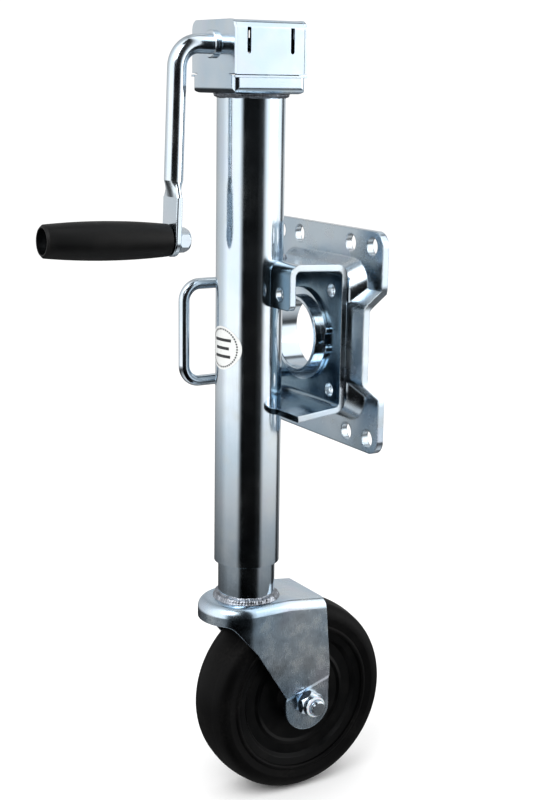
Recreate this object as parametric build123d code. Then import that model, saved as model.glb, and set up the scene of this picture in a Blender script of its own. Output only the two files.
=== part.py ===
"""Bolt-on swing-away trailer tongue jack with a side crank and one caster wheel.

Millimetres. The origin is the centre of the bolt pattern on the bracket's tongue-side face, +X points to
the trailer's tongue, +Z is up, and the crank points to -X.
"""
import os
from math import acos, atan, cos, degrees, pi, radians, sin, sqrt, tan

from build123d import *

os.makedirs("parts", exist_ok=True)

# ---------------------------------------------------------------- driving sizes
# mounting bracket
bracket_width = 155.0
bracket_height = 168.0
bracket_sheet = 5.5
bracket_raise = 13.0
bracket_corner = 11.0
bolt_hole_d = 13.5
bolt_end_edge = 11.0
bolt_side_edge = 13.5
bolt_inner_y = 36.0
pad_half_width = 60.0
pad_half_height = 62.0
pad_slope = 8.0
pad_corner = 20.0
wing_half_height = 41.0
wing_slope = 12.0
waist_depth = 3.5
waist_outer = 43.0
waist_inner = 29.0
waist_bend = 20.0
bend_radius = 4.0

# pivot
collar_od = 60.3
collar_wall = 3.65
collar_past_ring = 5.1
collar_edge = 0.8
ring_lip = 5.85
ring_sheet = 2.5
ring_groove = 1.5
ring_gap_angle = 15.0
ring_ear_r = 3.4
ring_ear_hole_d = 2.6
ring_ear_angle = 4.5
ring_ear_inset = 1.5
face_gap = 0.3
curved_gap = 0.3
running_gap = 0.05

# swivel bracket and lock handle
swivel_sheet = 4.8
swivel_half_width = 52.5
swivel_top = 59.0
swivel_bottom = -53.0
flange_rise = 2.0
flange_drop = 4.0
flange_end_to_axis = 12.4
ear_length = 32.0
lock_offset = 38.0
lock_hole_d = 10.5
lock_rod_d = 8.5
lock_travel = 12.0
lock_loop_to_axis = 35.5
lock_loop_bend = 13.0
lock_spring_wire = 1.3
lock_spring_turns = 7
lock_spare = 1.0
lock_tip_gap = 0.6
lock_chamfer = 1.2
spring_gap = 0.5
spring_end_gap = 0.1
lock_pin_past = 2.6
lock_washer_wide = 3.0
ear_corner = 4.0
lock_washer_thick = 1.5
lock_pin_d = 2.5

# tubes
axis_to_face = 72.5
tube_od = 50.8
tube_wall = 2.8
tube_top = 181.5
tube_bottom = -176.0
telescope_gap = 0.375
inner_wall = 2.5
inner_shown = 30.0
travel = 254.0

# gearbox
box_x = 60.0
box_y = 62.8
box_height = 51.6
box_forward = 2.3
box_sheet = 2.0
box_corner = 4.5
box_top_bend = 7.0
box_floor_bend = 5.0
box_seam_up = 13.0
box_seam_gap = 0.6
box_step = 0.25
box_lip = 1.3
box_lip_high = 1.5
relief_long = 7.5
relief_high = 1.0
slot_width = 3.0
slot_length = 16.5
slot_offset = 18.0
slot_drop = 5.6

# crank
crank_below_top = 17.1
crank_rod_d = 14.0
journal_d = 10.0
arm_to_box = 28.4
arm_bend = 17.0
arm_length = 139.0
arm_splay = 2.0
blade_thick = 4.8
blade_width = 23.0
blade_length = 43.0
blade_end = 12.0
blade_taper = 12.0
blade_flat = 0.6
blade_edge = 1.2
journal_inset = 0.4
bush_flange_d = 20.0
bush_flange = 3.0
bush_wall = 1.6
bush_inside = 1.2
bush_chamfer = 0.8
far_bush_rim = 2.0
clip_thick = 1.0
clip_wide = 3.4
clip_groove = 0.8
clip_gap = 0.6
pinion_boss = 2.6
pinion_boss_past = 5.2
grip_length = 98.0
grip_end_d = 23.6
grip_mid_d = 28.0
grip_bolt_d = 9.5
grip_recess_d = 18.6
grip_recess = 12.0
grip_nut_flats = 16.0
grip_nut_high = 9.6
grip_gap = 0.4
grip_edge = 1.5
grip_bore_gap = 0.08
grip_head_gap = 0.3
grip_head_high = 5.0
grip_head_dome = 2.6
grip_head_clear = 1.4
bolt_past_nut = 0.8

# gears and screw
gear_module = 2.0
pinion_teeth = 12
gear_teeth = 24
tooth_face = 7.5
tooth_shift = 0.345
tooth_backlash = 0.16
pressure_angle = 20.0
screw_d = 16.0
neck_d = 12.7
plate_thick = 4.0
race_thick = 2.0
race_od = 30.0
race_bore = 17.0
ball_d = 4.76
ball_count = 12
ball_circle = 23.4
collar_thick = 5.2
screw_collar_d = 26.0
nut_above = 10.0
nut_flange = 5.0
nut_length = 29.0
screw_past_nut = 7.0
cross_pin_d = 3.0
hub_d = 24.0
hub_washer = 1.5
hub_pin_up = 4.0
pin_inset = 0.3
nut_lip_gap = 0.2
neck_gap = 0.8
hex_inset = 0.2
hex_crown = 0.16

# fork and wheel
fork_sheet = 4.0
fork_half_width = 31.0
fork_nose_to_axis = 39.1
fork_tail_to_axis = 60.5
fork_tail_notch = 4.8
fork_fall = 4.5
fork_fall_from = 24.0
fork_fall_radius = 60.0
fork_skirt = 15.0
fork_shoulder = 8.0
fork_leg_start = 12.1
fork_leg_bend = 33.1
fork_leg_drop = 40.0
fork_edge_bend = 9.0
fork_back_up = 29.0
fork_trail = 41.0
axle_below_fork = 89.0
lobe_radius = 20.5
lobe_below = 2.8
joggle = 1.2
joggle_long = 3.0
joggle_front_up = 7.0
joggle_back_up = 20.0
axle_d = 12.7
wheel_d = 159.0
wheel_width = 45.0
tread_shoulder = 11.0
rim_d = 116.0
hub_boss_d = 36.0
hub_half = 24.0
hub_bore_gap = 0.06
sleeve_od = 16.0
axle_washer = 1.5
axle_nut_flats = 19.0
axle_nut_high = 12.0
axle_chamfer = 1.0
axle_hex_share = 0.68
axle_past_nut = 5.0
axle_head_high = 8.0
axle_washer_d = 26.0
tyre_crown = 1.2
bead_wide = 3.6
bead_high = 1.0
tyre_side = 1.2
rim_step = 2.4
rim_land = 6.0
dish_depth = 4.0
dish_slope = 2.5
dish_ring_d = 78.0
dish_ring_high = 0.8
weld_leg = 4.5
box_weld_leg = 3.2
collar_leg = 3.4
bead_shape = ((0, 0), (1, 0), (0.74, 0.52), (0.34, 0.92), (0, 1.06))
weld_sink = 0.6
weld_past_end = 6.0

# label
label_d = 33.0
label_thick = 0.3
label_below_pivot = 5.0
label_turn = 8.0

# ---------------------------------------------------------------- places worked out from them
axis_x = -axis_to_face
raised_face = -(bracket_sheet + bracket_raise)
swivel_face = raised_face - face_gap
swivel_back = swivel_face - swivel_sheet
ring_face = swivel_back - face_gap
collar_end = ring_face - ring_sheet - collar_past_ring
flange_end = axis_x + flange_end_to_axis
ring_od = collar_od + 2 * ring_lip
tube_r = tube_od / 2
tube_bore_r = tube_r - tube_wall
inner_r = tube_bore_r - telescope_gap
fork_top = tube_bottom - inner_shown
box_bottom = tube_top
box_top = box_bottom + box_height
crank_z = box_top - crank_below_top
box_mid = axis_x - box_forward
box_near = box_mid - box_x / 2
box_far = box_mid + box_x / 2
arm_x = box_near - arm_to_box
bolt_y = bracket_width / 2 - bolt_side_edge
bolt_z = bracket_height / 2 - bolt_end_edge
axle_x = axis_x + fork_trail
axle_z = fork_top - axle_below_fork
plate_z = tube_top - plate_thick
screw_seat = plate_z - race_thick - ball_d - 2 * running_gap - race_thick
nut_top = screw_seat - collar_thick - nut_above + nut_flange
inner_top = nut_top - nut_flange
screw_end = nut_top - nut_length - travel - screw_past_nut
hub_bottom = box_bottom + box_sheet + hub_washer + running_gap
hub_pin_z = hub_bottom + hub_pin_up
clip_x = box_far - box_sheet - bush_inside - clip_gap - clip_thick
lobe_face = fork_half_width - joggle
lobe_inside = lobe_face - fork_sheet
ear_inner_x = flange_end - bend_radius
lock_washer_x = swivel_back - lock_travel - lock_spare - lock_pin_d - lock_washer_thick
lock_pin_x = lock_washer_x + lock_washer_thick + lock_pin_d / 2
lock_spring_length = lock_washer_x - ear_inner_x
parts = {}


def add(name, shape):
    """Keep one named node; its shape may hold several separate solids."""
    shape.label = name
    parts[name] = shape


def rod(radius, start, end):
    """A round bar between two points."""
    start, end = Vector(*start), Vector(*end)
    axis = end - start
    return Plane(origin=start, z_dir=axis) * extrude(Circle(radius), axis.length)


def ring(outer, inner, start, end):
    """A round bar with a bore, between two points."""
    return rod(outer, start, end) - rod(inner, start, end)


def block(low, high):
    """A box given by its lowest and highest corners."""
    size = [b - a for a, b in zip(low, high)]
    middle = [(a + b) / 2 for a, b in zip(low, high)]
    return Pos(*middle) * Box(*size)


def hexagon(flats, start, end):
    """A hexagonal bar between two points."""
    start, end = Vector(*start), Vector(*end)
    axis = end - start
    outline = RegularPolygon(flats / 2, 6, major_radius=False)
    bar = Plane(origin=start, z_dir=axis) * extrude(outline, axis.length)
    corner = flats / sqrt(3)
    slope = hex_crown * flats
    crown = Plane(origin=start, z_dir=axis) * revolve(
        Plane.XZ * make_face(Polyline((0, 0), (flats / 2 - hex_inset, 0), (corner + hex_inset, slope),
                                      (corner + hex_inset, axis.length - slope),
                                      (flats / 2 - hex_inset, axis.length), (0, axis.length), close=True)),
        Axis.Z)
    return bar & crown


def bent_sheet(points, radius, thick, low_y, high_y):
    """Sheet folded along a line of (x, z) points, with bends of one centreline radius."""
    line = FilletPolyline(*[(x, z) for x, z in points], radius=radius)
    face = Plane.XZ * trace(line, thick)
    return Pos(0, high_y, 0) * extrude(face, high_y - low_y)


# ---------------------------------------------------------------- mounting bracket and pivot
def raised_form(inset):
    """The pressed middle: a pad with sloped walls and a wing to each side edge, as one solid.

    inset 0 is the outer skin; an inset of the sheet's thickness is the inner one.
    """
    form = None
    for half_y, half_z, slope, corner in (
        (pad_half_width, pad_half_height, pad_slope, pad_corner),
        (bracket_width, wing_half_height, wing_slope, 0),
    ):
        lean = slope / bracket_raise
        shift = inset * (sqrt(1 + lean * lean) - lean)
        level = raised_face + inset
        foot = -bracket_sheet + inset
        top_shrink = slope + shift
        outlines = []
        for x, shrink in ((foot, shift), (level, top_shrink)):
            size_y, size_z = 2 * (half_y - (shrink if corner else 0)), 2 * (half_z - shrink)
            flat = RectangleRounded(size_y, size_z, corner - shift) if corner else Rectangle(size_y, size_z)
            outlines.append(Plane(origin=(x, 0, 0), x_dir=(0, 1, 0), z_dir=(-1, 0, 0)) * flat)
        piece = loft(outlines, ruled=True)
        if foot > -bracket_sheet:
            low = Plane(origin=(foot, 0, 0), x_dir=(0, 1, 0), z_dir=(1, 0, 0))
            size_y, size_z = 2 * (half_y - (shift if corner else 0)), 2 * (half_z - shift)
            flat = RectangleRounded(size_y, size_z, corner - shift) if corner else Rectangle(size_y, size_z)
            piece += low * extrude(flat, 1.0)
        rim = piece.edges().filter_by_position(Axis.X, level - 0.01, level + 0.01)
        rim = rim if corner else rim.filter_by(Axis.Y)
        piece = fillet(rim, bend_radius + (0 if inset else bracket_sheet / 2))
        form = piece if form is None else form + piece
    return form


def blank():
    """The bracket's flat outline: a rounded rectangle with slightly waisted sides."""
    half_y, half_z, waist = bracket_width / 2, bracket_height / 2, bracket_width / 2 - waist_depth
    side = [(half_y, half_z), (half_y, waist_outer), (waist, waist_inner), (waist, -waist_inner),
            (half_y, -waist_outer), (half_y, -half_z)]
    face = make_face(Polyline(*side, *[(-y, z) for y, z in reversed(side)], close=True))
    face = fillet([v for v in face.vertices() if abs(v.Y) > half_z - 1], bracket_corner)
    return fillet([v for v in face.vertices() if abs(abs(v.Y) - waist_outer) < 0.1
                   or abs(abs(v.Y) - waist_inner) < 0.1], waist_bend)


def mount_bracket():
    """Pressed plate with eight bolt holes, four lock holes and the collar's hole."""
    plate = Plane.YZ * blank()
    outline = Pos(-100, 0, 0) * extrude(plate, 150)
    sheet = Pos(-bracket_sheet, 0, 0) * extrude(plate, bracket_sheet)
    body = (sheet + (raised_form(0) & outline)) - raised_form(bracket_sheet)
    for y in (-bolt_y, -bolt_inner_y, bolt_inner_y, bolt_y):
        for z in (-bolt_z, bolt_z):
            body -= rod(bolt_hole_d / 2, (-bracket_sheet - 1, y, z), (1, y, z))
    for y in (-lock_offset, lock_offset):
        for z in (-lock_offset, lock_offset):
            body -= rod(lock_hole_d / 2, (raised_face - 1, y, z), (1, y, z))
    body -= rod(collar_od / 2, (raised_face - 1, 0, 0), (1, 0, 0))
    return body


def pivot_collar():
    """Short tube that the jack swings on, with a groove for the retaining ring."""
    start = raised_face + bracket_sheet
    body = ring(collar_od / 2, collar_od / 2 - collar_wall, (start, 0, 0), (collar_end, 0, 0))
    body -= ring(collar_od, collar_od / 2 - ring_groove, (ring_face, 0, 0), (ring_face - ring_sheet, 0, 0))
    mouth = body.edges().filter_by_position(Axis.X, collar_end - 0.01, collar_end + 0.01)
    return fillet(mouth, collar_edge)


def collar_weld():
    """Bead round the collar in the bracket's hollow side."""
    start, r = raised_face + bracket_sheet, collar_od / 2
    bead = Plane.XZ * make_face(Polyline(
        (start, r), (start, r - collar_wall / 2), (start + collar_leg / 2, r), (start, r + collar_leg), close=True))
    return revolve(bead, Axis.X)


def retaining_ring():
    """Split ring in the collar's groove, with an ear at each side of its gap."""
    low, high = (ring_face - ring_sheet, 0, 0), (ring_face, 0, 0)
    body = ring(ring_od / 2, collar_od / 2 - ring_groove, low, high)
    half = radians(ring_gap_angle / 2)
    reach = ring_od
    wedge = Plane(origin=low, x_dir=(0, -1, 0), z_dir=(1, 0, 0)) * make_face(Polyline(
        (0, 0), (reach * cos(half), reach * sin(half)), (reach * cos(half), -reach * sin(half)), close=True))
    body -= Pos(-1, 0, 0) * extrude(wedge, ring_sheet + 2)
    for side in (-1, 1):
        turn = side * (half + radians(ring_ear_angle))
        out = ring_od / 2 - ring_ear_inset
        y, z = -out * cos(turn), out * sin(turn)
        body += rod(ring_ear_r, (low[0], y, z), (high[0], y, z))
        body -= rod(ring_ear_hole_d / 2, (low[0] - 1, y, z), (high[0] + 1, y, z))
    return body


# ---------------------------------------------------------------- post: tube, swivel bracket, gearbox shell
def outer_tube():
    return ring(tube_r, tube_bore_r, (axis_x, 0, tube_bottom), (axis_x, 0, tube_top))


def swivel_bracket():
    """Folded plate that turns on the collar, with a flange above and below and ears for the lock rods."""
    half = swivel_sheet / 2
    bend = bend_radius + half
    base_x = swivel_face - half
    ear_x = flange_end - bend_radius - half
    top, bottom = swivel_top - half, swivel_bottom + half
    top_end, bottom_end = top + flange_rise, bottom - flange_drop
    line = [(ear_x, swivel_top - ear_length), (ear_x, top_end), (base_x, top), (base_x, bottom),
            (flange_end, bottom_end)]
    body = bent_sheet(line, bend, swivel_sheet, -swivel_half_width, swivel_half_width)
    low_ear = [(ear_x, swivel_bottom + ear_length - flange_drop), (ear_x, bottom_end), (base_x, bottom),
               (base_x, 0)]
    body += bent_sheet(low_ear, bend, swivel_sheet, 0, swivel_half_width)
    body -= rod(tube_r, (axis_x, 0, tube_bottom), (axis_x, 0, tube_top))
    body -= rod(collar_od / 2 + curved_gap, (swivel_back - 1, 0, 0), (swivel_face + 1, 0, 0))
    for y in (-lock_offset, lock_offset):
        for z in (-lock_offset, lock_offset):
            body -= rod(lock_hole_d / 2, (axis_x - tube_r, y, z), (swivel_face + 1, y, z))
    corners = body.edges().filter_by(Axis.X).filter_by_position(Axis.X, ear_x - half, ear_x + half)
    body = fillet([e for e in corners if abs(e.center().Y) > tube_r + 5 and abs(e.center().Z) < 45], ear_corner)
    return body


def ring_bead(radius, level, leg, up=1, turn=180.0):
    """Weld bead in the corner between a tube's outside and a flat face, over a turn to each side of +X."""
    corners = [(radius + leg * out, level + up * leg * rise) for out, rise in bead_shape]
    bead = Plane.XZ * make_face(Polyline(*corners, close=True))
    return Pos(axis_x, 0, 0) * (Rot(0, 0, -turn) * revolve(bead, Axis.Z, 2 * turn))


def tube_welds(swivel):
    """The beads that hold the swivel bracket on the tube, where its flanges meet the tube."""
    over_x = (tube_r + swivel_face - axis_x) / 2
    at = (swivel_back - axis_x - over_x + 2 * bend_radius) / (swivel_back - flange_end)
    turn = degrees(acos((flange_end - axis_x + weld_past_end) / tube_r))
    top = ring_bead(tube_r, swivel_top + flange_rise * at - weld_sink, weld_leg, 1, turn) - swivel
    bottom = ring_bead(tube_r, swivel_bottom - flange_drop * at + weld_sink, weld_leg, -1, turn) - swivel
    return Compound([biggest(top), biggest(bottom)])


def biggest(shape):
    return max(shape.solids(), key=lambda s: s.volume)


def box_form(inset, walls=True):
    """The gearbox's outer form drawn in by an inset: bends along the top and round the floor.

    Without walls it runs on past both end walls.
    """
    low, high = box_bottom + inset, box_top - inset
    middle, tall = (low + high) / 2, high - low
    across = Plane.YZ * Pos(0, middle) * Rectangle(box_y - 2 * inset, tall)
    across = fillet(across.vertices().filter_by_position(Axis.Z, high - 0.01, high + 0.01), box_top_bend - inset)
    across = fillet(across.vertices().filter_by_position(Axis.Z, low - 0.01, low + 0.01), box_floor_bend - inset)
    body = Pos(box_near - box_sheet, 0, 0) * extrude(across, box_x + 2 * box_sheet)
    if not walls:
        return body
    along = Plane.XZ * Pos(box_mid, middle) * Rectangle(box_x - 2 * inset, tall)
    along = fillet(along.vertices().filter_by_position(Axis.Z, low - 0.01, low + 0.01), box_floor_bend - inset)
    return body & extrude(along, box_y, both=True)


def box_post(inset):
    """Upright prism with the pan's rounded corners, drawn in by an inset."""
    plan = RectangleRounded(box_x - 2 * inset, box_y - 2 * inset, box_corner - inset)
    return Pos(box_mid, 0, box_bottom - 1) * extrude(plan, box_height + 2)


def gearbox():
    """The folded base with its two end walls, and the cover that lies between them."""
    seam = box_bottom + box_seam_up
    near, far = box_near - 1, box_far + 1
    below = block((near, -box_y, box_bottom - 1), (far, box_y, seam))
    pan = (box_form(0) & box_post(0) & below) - (box_form(box_sheet) & box_post(box_sheet))
    ends = block((near, -box_y, seam), (box_near + box_sheet, box_y, box_top + 1))
    ends += block((box_far - box_sheet, -box_y, seam), (far, box_y, box_top + 1))
    base = pan + (box_form(0) & ends)
    for side in (-1, 1):
        edge, tip = side * box_y / 2, side * (box_y / 2 + box_lip)
        inner = edge - side * box_sheet / 2
        base += block((box_near, min(inner, tip), seam - box_lip_high), (box_far, max(inner, tip), seam))
        start = edge - side * relief_long
        base -= block((near, min(start, tip), seam), (far, max(start, tip), seam + relief_high))
    cover = box_form(box_step, False) - box_form(box_step + box_sheet, False)
    cover &= block((box_near + box_sheet, -box_y, seam + box_seam_gap), (box_far - box_sheet, box_y, box_top + 1))
    for x in (box_mid - slot_offset, box_mid + slot_offset):
        z_high, z_low = box_top - slot_drop, box_top - slot_drop - slot_length
        for side in (-1, 1):
            y_in, y_out = side * (box_y / 2 - box_top_bend), side * (box_y / 2 + 1)
            low_y, high_y = min(y_in, y_out), max(y_in, y_out)
            cover -= block((x - slot_width / 2, low_y, z_low), (x + slot_width / 2, high_y, z_high))
            cover -= rod(slot_width / 2, (x, low_y, z_low), (x, high_y, z_low))
    base -= rod(bush_body_r(crank_rod_d), (near, 0, crank_z), (box_near + box_sheet + 1, 0, crank_z))
    base -= rod(bush_body_r(journal_d), (box_far - box_sheet - 1, 0, crank_z), (far, 0, crank_z))
    base -= rod(neck_d / 2 + 1.0, (axis_x, 0, box_bottom - 1), (axis_x, 0, box_bottom + box_sheet + 1))
    return base, cover


def bush_body_r(shaft_d):
    return shaft_d / 2 + running_gap + bush_wall


def crank_bushing():
    """Flanged bush in the near wall."""
    inside, tip = box_near + box_sheet + bush_inside, box_near - bush_flange
    body = rod(bush_body_r(crank_rod_d), (inside, 0, crank_z), (box_near, 0, crank_z))
    body += rod(bush_flange_d / 2, (box_near, 0, crank_z), (tip, 0, crank_z))
    body = chamfer(body.edges().filter_by_position(Axis.X, tip - 0.01, tip + 0.01), bush_chamfer)
    return body - rod(crank_rod_d / 2 + running_gap, (tip - 1, 0, crank_z), (inside + 1, 0, crank_z))


def crank_far_bushing():
    """Bush in the far wall, with its rim inside the box."""
    inside, wall = box_far - box_sheet - bush_inside, box_far - box_sheet
    body = rod(bush_body_r(journal_d), (inside, 0, crank_z), (box_far, 0, crank_z))
    body += rod(bush_body_r(journal_d) + far_bush_rim, (inside, 0, crank_z), (wall, 0, crank_z))
    return body - rod(journal_d / 2 + running_gap, (inside - 1, 0, crank_z), (box_far + 1, 0, crank_z))


def box_weld():
    """Bead round the tube's top, under the box's floor."""
    return ring_bead(tube_r, tube_top, box_weld_leg, -1)


def label():
    """Round sticker wrapped on the tube."""
    skin = ring(tube_r + label_thick, tube_r, (axis_x, 0, -60), (axis_x, 0, 60))
    turn = radians(180 + label_turn)
    centre = (axis_x, 0, -label_below_pivot)
    out = (axis_x + 60 * cos(turn), 60 * sin(turn), -label_below_pivot)
    return skin & rod(label_d / 2, centre, out)


# ---------------------------------------------------------------- bevel gears
def tooth_outline(teeth, mate, shift, scale_to):
    """Outline of a straight bevel gear on the plane scale_to above the shared apex, as (x, y) points."""
    cone = atan(teeth / mate)
    pitch_r = gear_module * teeth / 2
    back_r = pitch_r / cos(cone)
    base_r = back_r * cos(radians(pressure_angle))
    tip_r = back_r + gear_module * (1 + shift)
    root_r = back_r - gear_module * (1.25 - shift)
    cone_distance = pitch_r / sin(cone)
    thick = gear_module * (pi / 2 + 2 * shift * tan(radians(pressure_angle))) - tooth_backlash
    pitch_roll = tan(radians(pressure_angle)) - radians(pressure_angle)
    half_pitch = thick / (2 * back_r)

    def half_angle(radius):
        """Half of the tooth's angle on the developed back cone."""
        if radius <= base_r:
            return half_pitch + pitch_roll
        alpha = acos(base_r / radius)
        return half_pitch + pitch_roll - (tan(alpha) - alpha)

    lowest = max(root_r, base_r)
    radii = [root_r] if root_r < base_r else []
    radii += [lowest + (tip_r - lowest) * k / 4 for k in range(5)]
    points = []
    for tooth in range(teeth):
        middle = 2 * pi * tooth / teeth
        flank = [(r, -half_angle(r)) for r in radii] + [(r, half_angle(r)) for r in reversed(radii)]
        for r, developed in flank:
            turn = middle + developed / cos(cone)
            along = cone_distance * cos(cone) - (r - back_r) * sin(cone)
            out = r * cos(cone) * scale_to / along
            points.append((out * cos(turn), out * sin(turn)))
    return points


def bevel_gear(teeth, mate, shift, back, hub_r, hub_end, bore_r):
    """Straight bevel gear with its apex at the origin and its teeth towards +Z, seen from its back.

    back is how deep the body goes behind the pitch circle, and hub_end is the hub's distance from the apex.
    """
    cone = atan(teeth / mate)
    pitch_r = gear_module * teeth / 2
    far = pitch_r / tan(cone)
    reach = pitch_r / sin(cone)
    inner = (reach - tooth_face) / reach
    tip = gear_module * (1 + shift)
    root = gear_module * (1.25 - shift)
    out_tip = (pitch_r + tip * cos(cone), far - tip * sin(cone))
    out_root = (pitch_r - root * cos(cone), far + root * sin(cone))
    in_tip = (out_tip[0] * inner, out_tip[1] * inner)
    in_root = (out_root[0] * inner, out_root[1] * inner)
    nearest, furthest = in_tip[1] * 0.8, out_root[1] * 1.15
    outlines = []
    for distance in (nearest, furthest):
        points = tooth_outline(teeth, mate, shift, distance)
        outlines.append(Plane(origin=(0, 0, distance)) * make_face(Polyline(*points, close=True)))
    toothed = loft(outlines, ruled=True)
    band = make_face(Polyline((0, in_root[1]), in_root, in_tip, out_tip, out_root, (0, out_root[1]), close=True))
    body = toothed & revolve(Plane.XZ * band, Axis.Z)
    rim_r = out_root[0] - 0.4
    lean = out_root[1] + back
    backing = make_face(Polyline((0, out_root[1] - 1.2), (rim_r, out_root[1] - 0.2), (rim_r - back * 0.7, lean),
                                 (hub_r, lean), (hub_r, hub_end), (0, hub_end), close=True))
    body += revolve(Plane.XZ * backing, Axis.Z)
    return body - Pos(0, 0, -1) * extrude(Circle(bore_r), hub_end + 2)


# ---------------------------------------------------------------- crank
def arm_frame():
    """Frame of the crank's arm: x along the grip, outward, and z up along the arm."""
    lean = radians(arm_splay)
    return Plane(origin=(arm_x, 0, crank_z), x_dir=(-cos(lean), 0, sin(lean)), z_dir=(sin(lean), 0, cos(lean)))


def crank_arm():
    """Round rod, bent once, with a reduced journal through the box and a flattened end."""
    lean = radians(arm_splay)
    stop = box_near + box_sheet + bush_inside
    taper = arm_length - (blade_length - blade_end)
    down = taper - blade_taper
    foot = (arm_x - down * sin(lean), 0, crank_z - down * cos(lean))
    path = FilletPolyline((stop, 0, crank_z), (arm_x, 0, crank_z), foot, radius=arm_bend)
    section = Plane(origin=(stop, 0, crank_z), z_dir=(-1, 0, 0)) * Circle(crank_rod_d / 2)
    body = sweep(section, path=path)
    body += rod(journal_d / 2, (stop, 0, crank_z), (box_far - journal_inset, 0, crank_z))
    frame = arm_frame()
    round_end = Plane(origin=(0, 0, -down)) * Circle(crank_rod_d / 2)
    flat_end = Plane(origin=(0, 0, -taper)) * RectangleRounded(blade_thick, blade_width, blade_thick / 2 - 0.05)
    body += frame * loft([round_end, flat_end], ruled=True)
    low = -arm_length - blade_end
    blade = Plane.YZ * Pos(0, (low - taper) / 2) * Rectangle(blade_width, -taper - low)
    ends = blade.vertices().filter_by_position(Axis.Z, low - 0.01, low + 0.01)
    blade = extrude(fillet(ends, blade_width / 2 - blade_flat), blade_thick / 2, both=True)
    long_edges = blade.faces().sort_by(Axis.X)[0].edges() + blade.faces().sort_by(Axis.X)[-1].edges()
    sides = [e for e in long_edges if e.center().Z < -taper - 0.5]
    body += frame * fillet(sides, blade_edge)
    body -= frame * rod(grip_bolt_d / 2, (-20, 0, -arm_length), (20, 0, -arm_length))
    body -= rod(cross_pin_d / 2, (pinion_pin_x(), -30, crank_z), (pinion_pin_x(), 30, crank_z))
    groove_end = (clip_x + clip_thick, 0, crank_z)
    return body - ring(journal_d, journal_d / 2 - clip_groove, (clip_x, 0, crank_z), groove_end)


def pinion_pin_x():
    """Where the pinion's cross pin lies: through the front boss of the pinion, clear of its teeth."""
    return axis_x - pinion_front() + pinion_boss


def pinion_front():
    """Distance from the apex to the small end of the pinion's teeth at their roots."""
    cone = atan(pinion_teeth / gear_teeth)
    pitch_r = gear_module * pinion_teeth / 2
    reach = pitch_r / sin(cone)
    far = pitch_r / tan(cone) + gear_module * (1.25 - tooth_shift) * sin(cone)
    return far * (reach - tooth_face) / reach


def crank_clip():
    """E-shaped clip in the journal's groove, inside the far wall."""
    body = ring(journal_d / 2 + clip_wide, journal_d / 2 - clip_groove, (clip_x, 0, crank_z),
                (clip_x + clip_thick, 0, crank_z))
    return body - block((clip_x - 1, -clip_wide, crank_z), (clip_x + 2, clip_wide, crank_z + 20))


def crank_grip():
    """Moulded barrel with a recess for the bolt's head."""
    start = blade_thick / 2 + grip_gap
    end = start + grip_length
    bore = grip_bolt_d / 2 + grip_bore_gap
    end_r, mid_r, e = grip_end_d / 2, grip_mid_d / 2, grip_edge
    side = ThreePointArc((start + e, end_r), (start + grip_length / 2, mid_r), (end - e, end_r))
    outline = make_face([
        Line((start, bore), (start, end_r - e)), Line((start, end_r - e), (start + e, end_r)), side,
        Line((end - e, end_r), (end, end_r - e)), Line((end, end_r - e), (end, grip_recess_d / 2)),
        Line((end, grip_recess_d / 2), (end - grip_recess, grip_recess_d / 2)),
        Line((end - grip_recess, grip_recess_d / 2), (end - grip_recess, bore)),
        Line((end - grip_recess, bore), (start, bore))])
    body = revolve(Plane.XZ * outline, Axis.X)
    return arm_frame() * (Pos(0, 0, -arm_length) * body)


def grip_bolt():
    """Round-headed bolt from the grip's recess to the nut."""
    seat = blade_thick / 2 + grip_gap + grip_length - grip_recess + grip_head_gap
    tail = -blade_thick / 2 - grip_nut_high - bolt_past_nut
    top = seat + grip_head_high
    body = rod(grip_bolt_d / 2, (tail, 0, 0), (seat, 0, 0))
    head = rod(grip_recess_d / 2 - grip_head_clear, (seat, 0, 0), (top, 0, 0))
    body += fillet(head.edges().filter_by_position(Axis.X, top - 0.01, top + 0.01), grip_head_dome)
    return arm_frame() * (Pos(0, 0, -arm_length) * body)


def grip_nut():
    low, high = (-blade_thick / 2 - grip_nut_high, 0, 0), (-blade_thick / 2, 0, 0)
    body = hexagon(grip_nut_flats, low, high) - rod(grip_bolt_d / 2, low, high)
    return arm_frame() * (Pos(0, 0, -arm_length) * body)


# ---------------------------------------------------------------- screw and nut
def jack_screw():
    """Screw with its neck through the bearing plate; the thread is a plain cylinder of its outer size."""
    neck_top = crank_z - journal_d / 2 - neck_gap
    body = rod(screw_d / 2, (axis_x, 0, screw_end), (axis_x, 0, screw_seat))
    body += rod(screw_collar_d / 2, (axis_x, 0, screw_seat - collar_thick), (axis_x, 0, screw_seat))
    body += rod(neck_d / 2, (axis_x, 0, screw_seat), (axis_x, 0, neck_top))
    return body - rod(cross_pin_d / 2, (axis_x, -30, hub_pin_z), (axis_x, 30, hub_pin_z))


def screw_gear():
    """Large bevel gear, pinned on the screw's neck, with its teeth up."""
    shaft_up = crank_z - hub_bottom
    gear = bevel_gear(gear_teeth, pinion_teeth, -tooth_shift, 3.0, hub_d / 2, shaft_up, neck_d / 2)
    gear = Pos(axis_x, 0, crank_z) * (Rot(180, 0, 0) * (Rot(0, 0, 180 / gear_teeth) * gear))
    return gear - rod(cross_pin_d / 2, (axis_x, -30, hub_pin_z), (axis_x, 30, hub_pin_z))


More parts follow.
